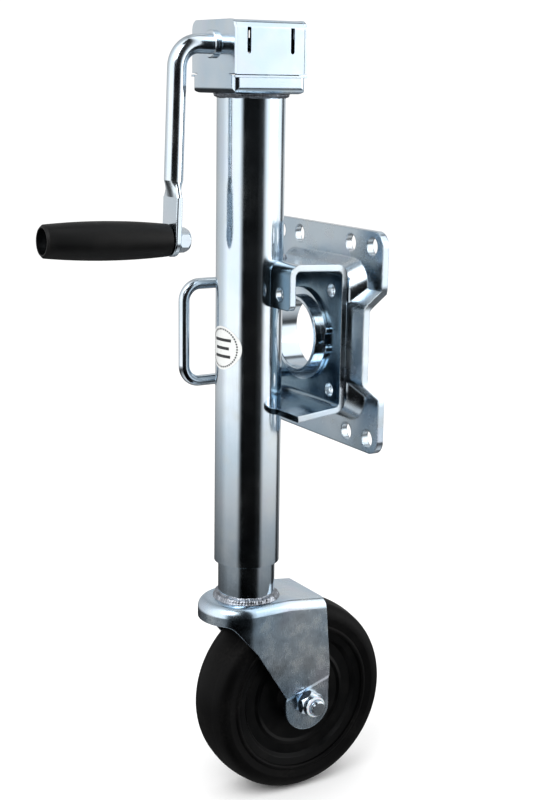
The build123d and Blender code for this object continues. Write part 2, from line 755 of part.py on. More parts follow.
def pinion():
    """Small bevel gear on the crank, with a boss in front of its teeth for the cross pin."""
    hub_end = axis_x - (box_near + box_sheet + bush_inside + pin_inset)
    gear = bevel_gear(pinion_teeth, gear_teeth, tooth_shift, 1.0, journal_d / 2 + 3, hub_end, journal_d / 2)
    gear = Pos(axis_x, 0, crank_z) * (Rot(0, -90, 0) * (Rot(0, 0, 180) * gear))
    front = axis_x - pinion_front()
    gear += ring(journal_d / 2 + pinion_boss, journal_d / 2, (front - 0.5, 0, crank_z),
                 (front + pinion_boss_past, 0, crank_z))
    return gear - rod(cross_pin_d / 2, (pinion_pin_x(), -30, crank_z), (pinion_pin_x(), 30, crank_z))


def thrust_balls():
    centre_z = plate_z - race_thick - running_gap - ball_d / 2
    balls = []
    for k in range(ball_count):
        turn = 2 * pi * k / ball_count
        x, y = axis_x + ball_circle / 2 * cos(turn), ball_circle / 2 * sin(turn)
        balls.append(Pos(x, y, centre_z) * Sphere(ball_d / 2))
    return Compound(balls)


def drive_nut():
    """Flanged nut at the inner tube's top, which the screw drives."""
    bore = screw_d / 2 + running_gap
    barrel = ring(inner_r - inner_wall - curved_gap, bore, (axis_x, 0, nut_top - nut_length), (axis_x, 0, nut_top))
    return barrel + ring(inner_r - nut_lip_gap, bore, (axis_x, 0, inner_top + running_gap), (axis_x, 0, nut_top))


# ---------------------------------------------------------------- caster
def inner_tube():
    return ring(inner_r, inner_r - inner_wall, (axis_x, 0, fork_top), (axis_x, 0, inner_top))


def fork_plan(shrink):
    """Outline of the fork seen from above: straight sides and a round nose."""
    nose = axis_x - fork_nose_to_axis + fork_half_width
    tail = axis_x + fork_tail_to_axis + shrink
    width = fork_half_width - shrink
    return make_face([
        Line((tail, -width), (nose, -width)), ThreePointArc((nose, -width), (nose - width, 0), (nose, width)),
        Line((nose, width), (tail, width)), Line((tail, width), (tail, -width))])


def fork_form(inset, radius):
    """One skin of the fork as a solid: a crown that falls to the rear, its rim rounded round the nose and sides."""
    low, top = axle_z - lobe_radius - 10, fork_top - inset
    front, tail = axis_x - fork_nose_to_axis - 1, axis_x + fork_tail_to_axis + fork_sheet + 1
    slope = fork_fall / (fork_tail_to_axis - fork_fall_from)
    start = axis_x + fork_fall_from - inset * tan(atan(slope) / 2)
    side = make_face(Polyline((front, low), (front, top), (start, top), (tail, top - slope * (tail - start)),
                              (tail, low), close=True))
    knee = [v for v in side.vertices() if abs(v.X - start) < 0.01]
    side = fillet(knee, fork_fall_radius - inset)
    form = Pos(0, 0, low) * extrude(fork_plan(inset), top - low)
    form &= extrude(Plane.XZ * side, fork_half_width + 1, both=True)
    end = axis_x + fork_tail_to_axis + inset
    rim = [e for e in form.edges() if e.center().Z > fork_top - 1.5 * fork_fall - inset and e.center().X < end - 1
           and not (abs(e.center().Y) < 1 and e.center().X > axis_x)]
    return fillet(rim, radius)


def fork_trim():
    """The fork's outline seen from the side: skirt, two edges down each leg, and the lobe round the axle."""
    nose, tail = axis_x - fork_nose_to_axis, axis_x + fork_tail_to_axis
    skirt, lobe_z = fork_top - fork_skirt, axle_z - lobe_below
    leg_x, bend_x = nose + fork_leg_start, nose + fork_leg_bend
    side = make_face(Polyline(
        (nose - 2, fork_top + 1), (nose - 2, skirt), (leg_x, skirt), (bend_x, fork_top - fork_leg_drop),
        (axle_x - lobe_radius, axle_z + joggle_front_up), (axle_x - lobe_radius, lobe_z), (axle_x, lobe_z),
        (axle_x + lobe_radius, lobe_z), (tail, axle_z + fork_back_up), (tail - fork_tail_notch, fork_top - fork_fall),
        (tail - fork_tail_notch, fork_top + 1), close=True))
    bends = [v for v in side.vertices() if abs(v.X - leg_x) < 0.1 or abs(v.X - bend_x) < 0.1]
    side = fillet(bends, fork_edge_bend)
    return Plane.XZ * (side + Pos(axle_x, lobe_z) * Circle(lobe_radius))


def joggle_steps():
    """Prisms below each leg's joggle line: what the outer face loses, and what the inner face gains."""
    front = (axle_x - lobe_radius, axle_z + joggle_front_up)
    rise, run = joggle_back_up - joggle_front_up, 2 * lobe_radius
    away = 4 * lobe_radius
    cuts, fills = [], []
    for side in (-1, 1):
        line = Plane(origin=(front[0] - run, 0, front[1] - rise), x_dir=(0, side, 0), z_dir=(run, 0, rise))
        down = -1 if line.y_dir.Z > 0 else 1
        out, inner = fork_half_width, fork_half_width - fork_sheet
        cut = Polyline((out, 0), (out - joggle, down * joggle_long), (out - joggle, down * away),
                       (out + 1, down * away), (out + 1, 0), close=True)
        fill = Polyline((inner, 0), (inner - joggle, down * joggle_long), (inner - joggle, down * away),
                        (inner, down * away), close=True)
        cuts.append(extrude(line * make_face(cut), 3 * away))
        fills.append(extrude(line * make_face(fill), 3 * away))
    return cuts, fills


def fork():
    """Pressed yoke: crown, skirt round the nose, and two legs with a joggled lobe at the axle."""
    shell = fork_form(0, fork_shoulder) - fork_form(fork_sheet, fork_shoulder - fork_sheet)
    cuts, fills = joggle_steps()
    for cut in cuts:
        shell -= cut
    for fill in fills:
        shell += fill
    shell &= extrude(fork_trim(), fork_half_width + 1, both=True)
    return shell - rod(axle_d / 2, (axle_x, -60, axle_z), (axle_x, 60, axle_z))


def fork_weld():
    """Bead between the inner tube and the fork's crown."""
    return ring_bead(inner_r, fork_top, weld_leg)


def axle_parts():
    """Bolt with its head on +Y, lock nut on -Y, and the sleeve and washers between the fork's legs."""
    tail, head = -lobe_face - axle_nut_high - axle_past_nut, lobe_face + axle_head_high
    bolt = rod(axle_d / 2, (axle_x, tail, axle_z), (axle_x, lobe_face, axle_z))
    bolt = chamfer(bolt.edges().filter_by_position(Axis.Y, tail - 0.01, tail + 0.01), axle_chamfer)
    bolt += hexagon(axle_nut_flats, (axle_x, lobe_face, axle_z), (axle_x, head, axle_z))
    nut_end = -lobe_face - axle_nut_high
    nut = hexagon(axle_nut_flats, (axle_x, -lobe_face - axle_nut_high * axle_hex_share, axle_z),
                  (axle_x, -lobe_face, axle_z))
    nut += rod(axle_nut_flats / 2 - axle_chamfer, (axle_x, nut_end, axle_z), (axle_x, -lobe_face - 1, axle_z))
    nut -= rod(axle_d / 2, (axle_x, nut_end, axle_z), (axle_x, -lobe_face, axle_z))
    nut = fillet(nut.edges().filter_by_position(Axis.Y, nut_end - 0.01, nut_end + 0.01), axle_chamfer)
    reach = lobe_inside - axle_washer
    sleeve = ring(sleeve_od / 2, axle_d / 2, (axle_x, -reach, axle_z), (axle_x, reach, axle_z))
    washers = Compound([ring(axle_washer_d / 2, axle_d / 2, (axle_x, side * lobe_inside, axle_z),
                             (axle_x, side * reach, axle_z)) for side in (-1, 1)])
    return bolt, nut, sleeve, washers


def wheel_profile(points):
    """Turn a profile of (radius, y) points round the axle."""
    face = Plane.XY * make_face(points)
    return Pos(axle_x, 0, axle_z) * revolve(face, Axis.Y)


def tyre():
    """Smooth solid tyre with round shoulders and a raised bead on each side."""
    crown, half, s = wheel_d / 2, wheel_width / 2, tread_shoulder
    edge, rim, side = crown - tyre_crown, rim_d / 2, half - tyre_side
    turn_r, turn_y = edge - s * (1 - cos(radians(45))), half - s * (1 - sin(radians(45)))
    bead, bead_top = rim + bead_wide, side + bead_high
    return wheel_profile([
        ThreePointArc((edge, s - half), (crown, 0), (edge, half - s)),
        ThreePointArc((edge, half - s), (turn_r, turn_y), (edge - s, half)),
        Line((edge - s, half), (bead, side)),
        ThreePointArc((bead, side), (rim + bead_wide / 2, bead_top), (rim, side)),
        Line((rim, side), (rim, -side)),
        ThreePointArc((rim, -side), (rim + bead_wide / 2, -bead_top), (bead, -side)),
        Line((bead, -side), (edge - s, -half)),
        ThreePointArc((edge - s, -half), (turn_r, -turn_y), (edge, s - half))])


def wheel_centre():
    """Moulded centre: a rim, a shallow dish with one raised ring on each face, and a boss on the sleeve."""
    rim, boss, bore = rim_d / 2, hub_boss_d / 2, sleeve_od / 2 + hub_bore_gap
    face = wheel_width / 2 - rim_step
    land, dish, raised = rim - rim_land, face - dish_depth, dish_ring_d / 2
    half = [(bore, hub_half), (boss, hub_half), (boss + dish_slope, dish), (raised - dish_slope, dish),
            (raised, dish + dish_ring_high), (raised + dish_slope, dish), (land - dish_slope, dish),
            (land, face - dish_ring_high), (rim, face)]
    return wheel_profile(Polyline(*half, *[(r, -y) for r, y in reversed(half)], close=True))


# ---------------------------------------------------------------- lock handle
def lock_handle():
    """U-shaped rod whose legs run through the ears to the bracket; drawn back at rest."""
    loop_x = axis_x - lock_loop_to_axis
    tip = raised_face - lock_tip_gap
    y = lock_offset
    path = FilletPolyline((tip, y, lock_offset), (loop_x, y, lock_offset), (loop_x, y, -lock_offset),
                          (tip, y, -lock_offset), radius=lock_loop_bend)
    section = Plane(origin=(tip, y, lock_offset), z_dir=(-1, 0, 0)) * Circle(lock_rod_d / 2)
    body = sweep(section, path=path)
    ends = body.edges().filter_by_position(Axis.X, tip - 0.01, tip + 0.01)
    body = chamfer(ends, lock_chamfer)
    for z in (-lock_offset, lock_offset):
        body -= rod(lock_pin_d / 2, (lock_pin_x, y - 20, z), (lock_pin_x, y + 20, z))
    return body


def lock_washers():
    start, end = lock_washer_x, lock_washer_x + lock_washer_thick
    return Compound([
        ring(lock_rod_d / 2 + lock_washer_wide, lock_rod_d / 2, (start, lock_offset, z), (end, lock_offset, z))
        for z in (-lock_offset, lock_offset)])


def lock_cross_pins():
    reach = lock_rod_d / 2 + lock_pin_past
    return Compound([
        rod(lock_pin_d / 2, (lock_pin_x, lock_offset - reach, z), (lock_pin_x, lock_offset + reach, z))
        for z in (-lock_offset, lock_offset)])


def lock_springs():
    """Two coil springs between the ears and the washers."""
    coil_r = lock_rod_d / 2 + lock_spring_wire / 2 + spring_gap
    length = lock_spring_length - lock_spring_wire - 2 * spring_end_gap
    coils = []
    for z in (-lock_offset, lock_offset):
        path = Helix(pitch=length / lock_spring_turns, height=length, radius=coil_r)
        wire = Plane(origin=path @ 0, z_dir=path % 0) * Circle(lock_spring_wire / 2)
        coil = sweep(wire, path=path, is_frenet=True)
        start = ear_inner_x + lock_spring_wire / 2 + spring_end_gap
        coils.append(Pos(start, lock_offset, z) * (Rot(0, 90, 0) * coil))
    return Compound(coils)


# ---------------------------------------------------------------- the assembly
add("mount_bracket", mount_bracket())
add("pivot_collar", pivot_collar())
add("collar_weld", collar_weld() - parts["pivot_collar"] - parts["mount_bracket"])
add("retaining_ring", retaining_ring())
add("outer_tube", outer_tube())
add("swivel_bracket", swivel_bracket())
add("tube_welds", tube_welds(parts["swivel_bracket"]))
box_base, box_cover = gearbox()
add("gearbox_base", box_base)
add("gearbox_cover", box_cover)
add("box_weld", box_weld())
add("crank_bushing", crank_bushing())
add("crank_far_bushing", crank_far_bushing())
add("bearing_plate", ring(tube_bore_r, neck_d / 2 + running_gap, (axis_x, 0, plate_z), (axis_x, 0, tube_top)))
add("upper_race", ring(race_od / 2, race_bore / 2, (axis_x, 0, plate_z - race_thick), (axis_x, 0, plate_z)))
add("thrust_balls", thrust_balls())
add("capacity_label", label())
add("crank_arm", crank_arm())
add("pinion", pinion())
pin_reach = journal_d / 2 + pinion_boss - pin_inset
add("pinion_pin", rod(cross_pin_d / 2, (pinion_pin_x(), -pin_reach, crank_z), (pinion_pin_x(), pin_reach, crank_z)))
add("crank_clip", crank_clip())
add("grip_bolt", grip_bolt())
add("grip_nut", grip_nut())
add("crank_grip", crank_grip())
add("jack_screw", jack_screw())
add("screw_gear", screw_gear())
gear_reach = hub_d / 2 - pin_inset
add("screw_gear_pin", rod(cross_pin_d / 2, (axis_x, -gear_reach, hub_pin_z), (axis_x, gear_reach, hub_pin_z)))
add("lower_race", ring(race_od / 2, race_bore / 2, (axis_x, 0, screw_seat), (axis_x, 0, screw_seat + race_thick)))
hub_low = box_bottom + box_sheet
add("hub_washer", ring(hub_d / 2, neck_d / 2 + curved_gap, (axis_x, 0, hub_low), (axis_x, 0, hub_low + hub_washer)))
add("drive_nut", drive_nut())
add("inner_tube", inner_tube())
add("fork", fork())
add("fork_weld", fork_weld())
axle_bolt, axle_nut, hub_sleeve, axle_washers = axle_parts()
add("axle_bolt", axle_bolt)
add("axle_nut", axle_nut)
add("hub_sleeve", hub_sleeve)
add("axle_washers", axle_washers)
add("tyre", tyre())
add("wheel_centre", wheel_centre())
add("lock_handle", lock_handle())
add("lock_washers", lock_washers())
add("lock_cross_pins", lock_cross_pins())
add("lock_springs", lock_springs())

for name, shape in parts.items():
    export_step(shape, f"parts/{name}.step")
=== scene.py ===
"""Finishes and fine detail for a bolt-on swing-away trailer tongue jack, built round its CAD frame."""

import math

import bmesh
import bpy
from bpy.props import FloatProperty, FloatVectorProperty, IntProperty, PointerProperty
from mathutils import Matrix, Vector
from mathutils.bvhtree import BVHTree


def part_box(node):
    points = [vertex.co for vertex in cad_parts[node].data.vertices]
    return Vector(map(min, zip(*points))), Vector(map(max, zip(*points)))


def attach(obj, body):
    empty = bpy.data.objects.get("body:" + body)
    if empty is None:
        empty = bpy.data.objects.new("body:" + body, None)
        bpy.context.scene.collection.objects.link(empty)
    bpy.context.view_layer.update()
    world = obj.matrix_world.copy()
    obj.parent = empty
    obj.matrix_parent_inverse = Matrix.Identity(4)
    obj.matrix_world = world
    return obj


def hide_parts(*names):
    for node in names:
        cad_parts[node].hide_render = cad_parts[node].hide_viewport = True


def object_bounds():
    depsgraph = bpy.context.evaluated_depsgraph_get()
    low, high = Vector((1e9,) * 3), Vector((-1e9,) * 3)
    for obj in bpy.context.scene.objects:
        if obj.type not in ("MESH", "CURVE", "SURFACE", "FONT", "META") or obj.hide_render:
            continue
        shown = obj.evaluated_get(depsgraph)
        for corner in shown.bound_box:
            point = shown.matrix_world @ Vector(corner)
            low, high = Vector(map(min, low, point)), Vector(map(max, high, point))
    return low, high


bl_info = {
    "name": "Trailer Tongue Jack",
    "version": (1, 0, 0),
    "blender": (4, 5, 0),
    "location": "View3D > Sidebar > Jack",
    "description": "Finishes, welds, threads and the studio stage for a trailer tongue jack",
    "category": "Object",
}

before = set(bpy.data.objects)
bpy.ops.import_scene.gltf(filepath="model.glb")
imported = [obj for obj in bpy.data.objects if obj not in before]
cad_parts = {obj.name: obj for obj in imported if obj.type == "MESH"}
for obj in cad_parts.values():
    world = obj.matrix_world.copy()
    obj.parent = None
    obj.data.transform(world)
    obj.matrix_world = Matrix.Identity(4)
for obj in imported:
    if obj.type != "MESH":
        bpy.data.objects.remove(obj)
CAD_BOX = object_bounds()
MM = 0.001


def linear(code):
    """An sRGB hex colour as linear RGBA."""
    values = [int(code[i : i + 2], 16) / 255 for i in (1, 3, 5)]
    return tuple(v / 12.92 if v <= 0.04045 else ((v + 0.055) / 1.055) ** 2.4 for v in values) + (1.0,)


def colour(name, code, description):
    """A colour property with its default given as sRGB hex."""
    return FloatVectorProperty(
        name=name, description=description, subtype="COLOR", size=4, min=0, max=1, default=linear(code)
    )


def length(name, millimetres, description):
    """A length property in metres with its default given in millimetres."""
    return FloatProperty(
        name=name, description=description, default=millimetres * MM, min=0, unit="LENGTH", precision=5
    )


# ---------------------------------------------------------------- what the user can change


class JackColours(bpy.types.PropertyGroup):
    zinc: colour("Zinc plate", "#D6DFE6", "Bright zinc over smooth steel")
    zinc_blue: colour("Blue passivate", "#AFC8DC", "The blue cast of clear passivation")
    zinc_straw: colour("Straw passivate", "#E3DAC0", "Where the passivation film is thicker")
    zinc_painted_shade: colour("Shaded plate", "#6F8796", "Blue-grey shade of the plates' faces along X")
    zinc_violet: colour("Violet passivate", "#D5CBE0", "Where the film is thicker still")
    weld: colour("Plated weld", "#A9AEB6", "Zinc over the rippled weld metal")
    soot: colour("Weld shadow", "#5F6268", "Thin plating in the ripples' valleys")
    grip: colour("Grip vinyl", "#0C0D0E", "Moulded black vinyl")
    tyre: colour("Tyre rubber", "#070708", "Black moulded rubber")
    wheel: colour("Wheel plastic", "#050607", "Black moulded polypropylene")
    dust: colour("Dust", "#2E2C2A", "Pale dust that clings to black rubber")
    label: colour("Label vinyl", "#D2D4D3", "White vinyl film")
    ink: colour("Label ink", "#1B1D21", "Dark grey print")
    steel: colour("Bare steel", "#8C8D8E", "Machined steel under grease")
    bronze: colour("Sintered bronze", "#A07A45", "Oil-filled bush")
    nylon: colour("Nylon insert", "#C9CED6", "Lock nut's ring")
    floor: colour("Floor", "#F4F4F4", "Pale studio floor")


class JackDetail(bpy.types.PropertyGroup):
    ripple_pitch: length("Weld ripple", 2.1, "Distance between the ripples of a weld bead")
    ripple_depth: length("Ripple depth", 0.28, "Height of the ripples")
    axle_pitch: length("Axle thread pitch", 1.95, "Half inch coarse thread, 13 a inch")
    label_dots: IntProperty(name="Label dots", description="Dots round the label's border", default=44, min=3)
    label_bars: IntProperty(name="Label bars", description="Plain bars in the label's middle", default=3, min=1)


class JackStage(bpy.types.PropertyGroup):
    azimuth: FloatProperty(name="Azimuth", description="Camera's angle round the jack",
                           default=math.radians(-31.32), subtype="ANGLE")
    elevation: FloatProperty(name="Elevation", description="Camera's height as an angle",
                             default=math.radians(12.64), subtype="ANGLE")
    roll: FloatProperty(name="Roll", description="Camera's tilt about its view", default=math.radians(0.81),
                        subtype="ANGLE")
    distance: length("Distance", 1089.6, "From the camera to what it aims at")
    aim_right: length("Aim right", 16.9, "How far right of the tube's axis the camera aims")
    aim_down: length("Aim down", 47.4, "How far below the pivot the camera aims")
    lens: FloatProperty(name="Lens", description="Focal length for a 36 mm sensor", default=64.5, min=1)
    floor_size: length("Floor", 8000.0, "Side of the floor")


# ---------------------------------------------------------------- materials


def add(tree, kind, settings=None, **links):
    """Adds a node, sets its properties and socket values, and links sockets to its inputs by name."""
    node = tree.nodes.new(kind)
    for key, value in (settings or {}).items():
        if hasattr(node, key):
            setattr(node, key, value)
        else:
            node.inputs[key].default_value = value
    for key, source in links.items():
        numbered = key[0] == "i" and key[1:].isdigit()
        target = int(key[1:]) if numbered else key.replace("_", " ")
        tree.links.new(source, node.inputs[target])
    return node


def surface(name, **settings):
    """A new material with its tree, its shader and the object coordinates."""
    material = bpy.data.materials.new(name)
    material.use_nodes = True
    tree = material.node_tree
    tree.nodes.clear()
    shader = add(tree, "ShaderNodeBsdfPrincipled", settings)
    output = add(tree, "ShaderNodeOutputMaterial")
    tree.links.new(shader.outputs[0], output.inputs["Surface"])
    place = add(tree, "ShaderNodeTexCoord").outputs["Object"]
    return material, tree, shader, place


def noise(tree, place, size_mm, detail=3.0, stretch=(1, 1, 1), roughness=0.5):
    """Noise whose features are about size_mm across, drawn out along an axis by a small stretch value."""
    scaled = add(tree, "ShaderNodeMapping", {"Scale": stretch}, Vector=place).outputs[0]
    settings = {"Scale": 1 / (size_mm * MM), "Detail": detail, "Roughness": roughness}
    return add(tree, "ShaderNodeTexNoise", settings, Vector=scaled).outputs["Fac"]


def span(tree, value, low, high, to_low, to_high):
    """Maps a value from one range to another, clamped."""
    settings = {"From Min": low, "From Max": high, "To Min": to_low, "To Max": to_high}
    return add(tree, "ShaderNodeMapRange", settings, Value=value).outputs[0]


def mix(tree, factor, first, second):
    """Mixes two colours, each a value or a socket."""
    node = add(tree, "ShaderNodeMix", {"data_type": "RGBA"})
    tree.links.new(factor, node.inputs[0])
    for socket, value in ((node.inputs[6], first), (node.inputs[7], second)):
        if isinstance(value, bpy.types.NodeSocket):
            tree.links.new(value, socket)
        else:
            socket.default_value = value
    return node.outputs[2]


def relief(tree, shader, height, depth_mm, strength=1.0, edge_mm=0.35):
    """Bump from a height between 0 and 1, over edges softened by a small radius."""
    soft = add(tree, "ShaderNodeBevel", {"samples": 4, "Radius": edge_mm * MM}).outputs[0]
    settings = {"Strength": strength, "Distance": depth_mm * MM}
    bump = add(tree, "ShaderNodeBump", settings, Height=height, Normal=soft)
    tree.links.new(bump.outputs[0], shader.inputs["Normal"])


def zinc_plate(name, grain=(1, 1, 1), grain_mm=0.6, smooth=0.13, rough=0.27, tint=1.0, edge_mm=0.35, deep=0.0):
    """Bright zinc electroplate with clear passivation over rolled or drawn steel.

    To the eye: a mirror-like grey-white metal with a blue cast, clouds of straw and violet where the film is
    thicker, fine drawing lines and patches that are a little duller. With deep above nought, the faces along X
    also carry painted blue-grey shade.
    """
    colours = bpy.context.scene.jack_colours
    material, tree, shader, place = surface(name, Metallic=1.0)
    cloud = noise(tree, place, 55, 2.0)
    patch = noise(tree, place, 16, 3.0)
    streak = noise(tree, place, grain_mm, 4.0, grain)
    base = mix(tree, span(tree, cloud, 0.35, 0.65, 0, 0.55 * tint), colours.zinc, colours.zinc_blue)
    base = mix(tree, span(tree, patch, 0.52, 0.8, 0, 0.22 * tint), base, colours.zinc_straw)
    other = noise(tree, place, 23, 2.0, (1, 1, 0.7))
    base = mix(tree, span(tree, other, 0.54, 0.8, 0, 0.26 * tint), base, colours.zinc_violet)
    if deep:
        # Painted shade: faces along X are darkened, because the studio alone leaves these plates too bright.
        normal = add(tree, "ShaderNodeTexCoord").outputs["Normal"]
        facing = add(tree, "ShaderNodeSeparateXYZ", None, Vector=normal)
        sideways = add(tree, "ShaderNodeMath", {"operation": "ABSOLUTE"}, i0=facing.outputs[0]).outputs[0]
        shaded = add(tree, "ShaderNodeMath", {"operation": "MULTIPLY"},
                     i0=span(tree, sideways, 0.35, 0.9, 0, deep),
                     i1=span(tree, patch, 0.3, 0.7, 1.0, 0.85)).outputs[0]
        base = mix(tree, shaded, base, colours.zinc_painted_shade)
    tree.links.new(base, shader.inputs["Base Color"])
    mixed = add(tree, "ShaderNodeMath", {"operation": "ADD"}, i0=span(tree, patch, 0.3, 0.7, smooth, rough),
                i1=span(tree, streak, 0.3, 0.7, -0.02, 0.05))
    tree.links.new(mixed.outputs[0], shader.inputs["Roughness"])
    peel = noise(tree, place, 3.5, 2.0)
    height = add(tree, "ShaderNodeMath", {"operation": "ADD"}, i0=span(tree, peel, 0, 1, 0, 0.7),
                 i1=span(tree, streak, 0, 1, 0, 0.3))
    relief(tree, shader, height.outputs[0], 0.02, 0.35, edge_mm)
    return material


def plated_weld():
    """Zinc over a wire-fed weld bead.

    To the eye: the same grey-white metal, but duller and darker between the ripples, with fine grit.
    """
    colours = bpy.context.scene.jack_colours
    material, tree, shader, place = surface("zinc_plated_weld_bead", Metallic=1.0)
    grit = noise(tree, place, 0.9, 5.0)
    cloud = noise(tree, place, 6, 3.0)
    base = mix(tree, span(tree, cloud, 0.4, 0.7, 0, 0.6), colours.weld, colours.soot)
    base = mix(tree, span(tree, grit, 0.55, 0.75, 0, 0.5), base, colours.soot)
    tree.links.new(base, shader.inputs["Base Color"])
    tree.links.new(span(tree, grit, 0.3, 0.7, 0.26, 0.5), shader.inputs["Roughness"])
    relief(tree, shader, grit, 0.12, 0.6, 0.2)
    return material


def greased_steel():
    """Turned and ground steel under a film of grease.

    To the eye: mid-grey metal with turning lines and a wet, uneven gloss.
    """
    colours = bpy.context.scene.jack_colours
    material, tree, shader, place = surface("greased_turned_steel", Metallic=1.0)
    shader.inputs["Coat Weight"].default_value = 0.5
    shader.inputs["Coat Roughness"].default_value = 0.12
    film = noise(tree, place, 9, 3.0)
    lines = noise(tree, place, 0.5, 2.0, (0.1, 0.1, 1))
    tree.links.new(mix(tree, span(tree, film, 0.4, 0.7, 0, 0.5), colours.steel, colours.soot),
                   shader.inputs["Base Color"])
    tree.links.new(span(tree, lines, 0.3, 0.7, 0.22, 0.4), shader.inputs["Roughness"])
    relief(tree, shader, lines, 0.03, 0.3)
    return material


def sintered_bronze():
    """Oil-filled sintered bronze.

    To the eye: warm brown-yellow metal, satin, with fine dark pores.
    """
    colours = bpy.context.scene.jack_colours
    material, tree, shader, place = surface("sintered_bronze", Metallic=1.0)
    pores = noise(tree, place, 0.35, 2.0)
    tree.links.new(mix(tree, span(tree, pores, 0.62, 0.7, 0, 0.7), colours.bronze, colours.soot),
                   shader.inputs["Base Color"])
    tree.links.new(span(tree, pores, 0.3, 0.7, 0.3, 0.45), shader.inputs["Roughness"])
    relief(tree, shader, pores, 0.03, 0.4)
    return material


def moulded_vinyl():
    """Black vinyl moulded in a spark-eroded tool.

    To the eye: soft black with a fine leathery grain, satin where hands have rubbed it and duller in the grain.
    """
    colours = bpy.context.scene.jack_colours
    material, tree, shader, place = surface("moulded_black_vinyl", Metallic=0.0, IOR=1.4)
    shader.inputs["Specular IOR Level"].default_value = 0.4
    grain = noise(tree, place, 0.7, 3.0)
    rubbed = noise(tree, place, 22, 2.0)
    tree.links.new(mix(tree, span(tree, rubbed, 0.5, 0.75, 0, 0.16), colours.grip, colours.dust),
                   shader.inputs["Base Color"])
    tree.links.new(span(tree, rubbed, 0.3, 0.7, 0.34, 0.5), shader.inputs["Roughness"])
    relief(tree, shader, grain, 0.09, 0.5)
    return material


def tyre_rubber():
    """Black solid rubber, moulded smooth.

    To the eye: near-black, low sheen, with faint flow streaks round the tread and dust in the texture.
    """
    colours = bpy.context.scene.jack_colours
    material, tree, shader, place = surface("moulded_tyre_rubber", Metallic=0.0, IOR=1.33)
    shader.inputs["Specular IOR Level"].default_value = 0.3
    grain = noise(tree, place, 0.8, 3.0)
    dust = noise(tree, place, 30, 4.0)
    fine = noise(tree, place, 2.2, 4.0)
    powder = add(tree, "ShaderNodeMath", {"operation": "MULTIPLY"}, i0=span(tree, dust, 0.42, 0.75, 0, 0.35),
                 i1=span(tree, fine, 0.35, 0.7, 0, 1)).outputs[0]
    tree.links.new(mix(tree, powder, colours.tyre, colours.dust), shader.inputs["Base Color"])
    tree.links.new(span(tree, dust, 0.3, 0.7, 0.46, 0.62), shader.inputs["Roughness"])
    relief(tree, shader, grain, 0.08, 0.45)
    return material


def wheel_polypropylene():
    """Black polypropylene, injection moulded.

    To the eye: black with a slightly greasy gloss, shallow sink marks and a faint pebble.
    """
    colours = bpy.context.scene.jack_colours
    material, tree, shader, place = surface("moulded_black_polypropylene", Metallic=0.0, IOR=1.36)
    shader.inputs["Specular IOR Level"].default_value = 0.35
    pebble = noise(tree, place, 1.1, 2.0)
    sink = noise(tree, place, 12, 2.0)
    tree.links.new(mix(tree, span(tree, sink, 0.5, 0.8, 0, 0.12), colours.wheel, colours.dust),
                   shader.inputs["Base Color"])
    tree.links.new(span(tree, sink, 0.3, 0.7, 0.3, 0.44), shader.inputs["Roughness"])
    relief(tree, shader, pebble, 0.05, 0.4, 0.6)
    return material


def label_vinyl():
    """White vinyl film with a clear gloss face.

    To the eye: clean white, slightly glossy, following the tube with a faint ripple.
    """
    colours = bpy.context.scene.jack_colours
    material, tree, shader, place = surface("white_vinyl_film", Metallic=0.0, IOR=1.5)
    shader.inputs["Coat Weight"].default_value = 0.4
    shader.inputs["Coat Roughness"].default_value = 0.1
    ripple = noise(tree, place, 7, 2.0)
    tree.links.new(mix(tree, span(tree, ripple, 0.55, 0.8, 0, 0.08), colours.label, colours.dust),
                   shader.inputs["Base Color"])
    tree.links.new(span(tree, ripple, 0.3, 0.7, 0.25, 0.38), shader.inputs["Roughness"])
    relief(tree, shader, ripple, 0.03, 0.3, 0.1)
    return material


def printed_ink():
    """Dark ink printed on the film.

    To the eye: flat dark grey with a slightly broken, screened density.
    """
    colours = bpy.context.scene.jack_colours
    material, tree, shader, place = surface("screen_printed_ink", Metallic=0.0, IOR=1.5)
    screen = noise(tree, place, 0.5, 2.0)
    tree.links.new(mix(tree, span(tree, screen, 0.5, 0.8, 0, 0.3), colours.ink, colours.label),
                   shader.inputs["Base Color"])
    shader.inputs["Roughness"].default_value = 0.42
    return material


def nylon_ring():
    """Natural nylon, moulded.

    To the eye: milky blue-white, soft sheen and slightly see-through at its edge.
    """
    colours = bpy.context.scene.jack_colours
    material, tree, shader, place = surface("moulded_nylon", Metallic=0.0, IOR=1.53)
    shader.inputs["Subsurface Weight"].default_value = 0.2
    shader.inputs["Subsurface Scale"].default_value = 1.0 * MM
    milk = noise(tree, place, 3, 2.0)
    tree.links.new(mix(tree, span(tree, milk, 0.3, 0.7, 0, 0.3), colours.nylon, colours.label),
                   shader.inputs["Base Color"])
    shader.inputs["Roughness"].default_value = 0.36
    return material


def paint(material, *nodes):
    """Gives CAD nodes a material through their object's slots."""
    for node in nodes:
        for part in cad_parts[node].material_slots:
            part.link = "OBJECT"
            part.material = material


# ---------------------------------------------------------------- mesh helpers


def centre_of(node):
    """Middle of a CAD node's box."""
    low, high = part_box(node)
    return (Vector(low) + Vector(high)) / 2


def size_of(node):
    """Sides of a CAD node's box."""
    low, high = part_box(node)
    return Vector(high) - Vector(low)


def new_piece(name, body, material, vertices, faces, replaced=(), sharp=40):
    """A mesh piece that rides on a body, smooth except at its sharp edges."""
    mesh = bpy.data.meshes.new(name)
    mesh.from_pydata([tuple(v) for v in vertices], [], faces)
    mesh.validate()
    fixed = bmesh.new()
    fixed.from_mesh(mesh)
    bmesh.ops.recalc_face_normals(fixed, faces=fixed.faces)
    fixed.to_mesh(mesh)
    fixed.free()
    mesh.shade_smooth()
    mesh.set_sharp_from_angle(angle=math.radians(sharp))
    mesh.materials.append(material)
    piece = bpy.data.objects.new(name, mesh)
    bpy.context.scene.collection.objects.link(piece)
    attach(piece, body)
    if replaced:
        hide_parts(*replaced)
    return piece


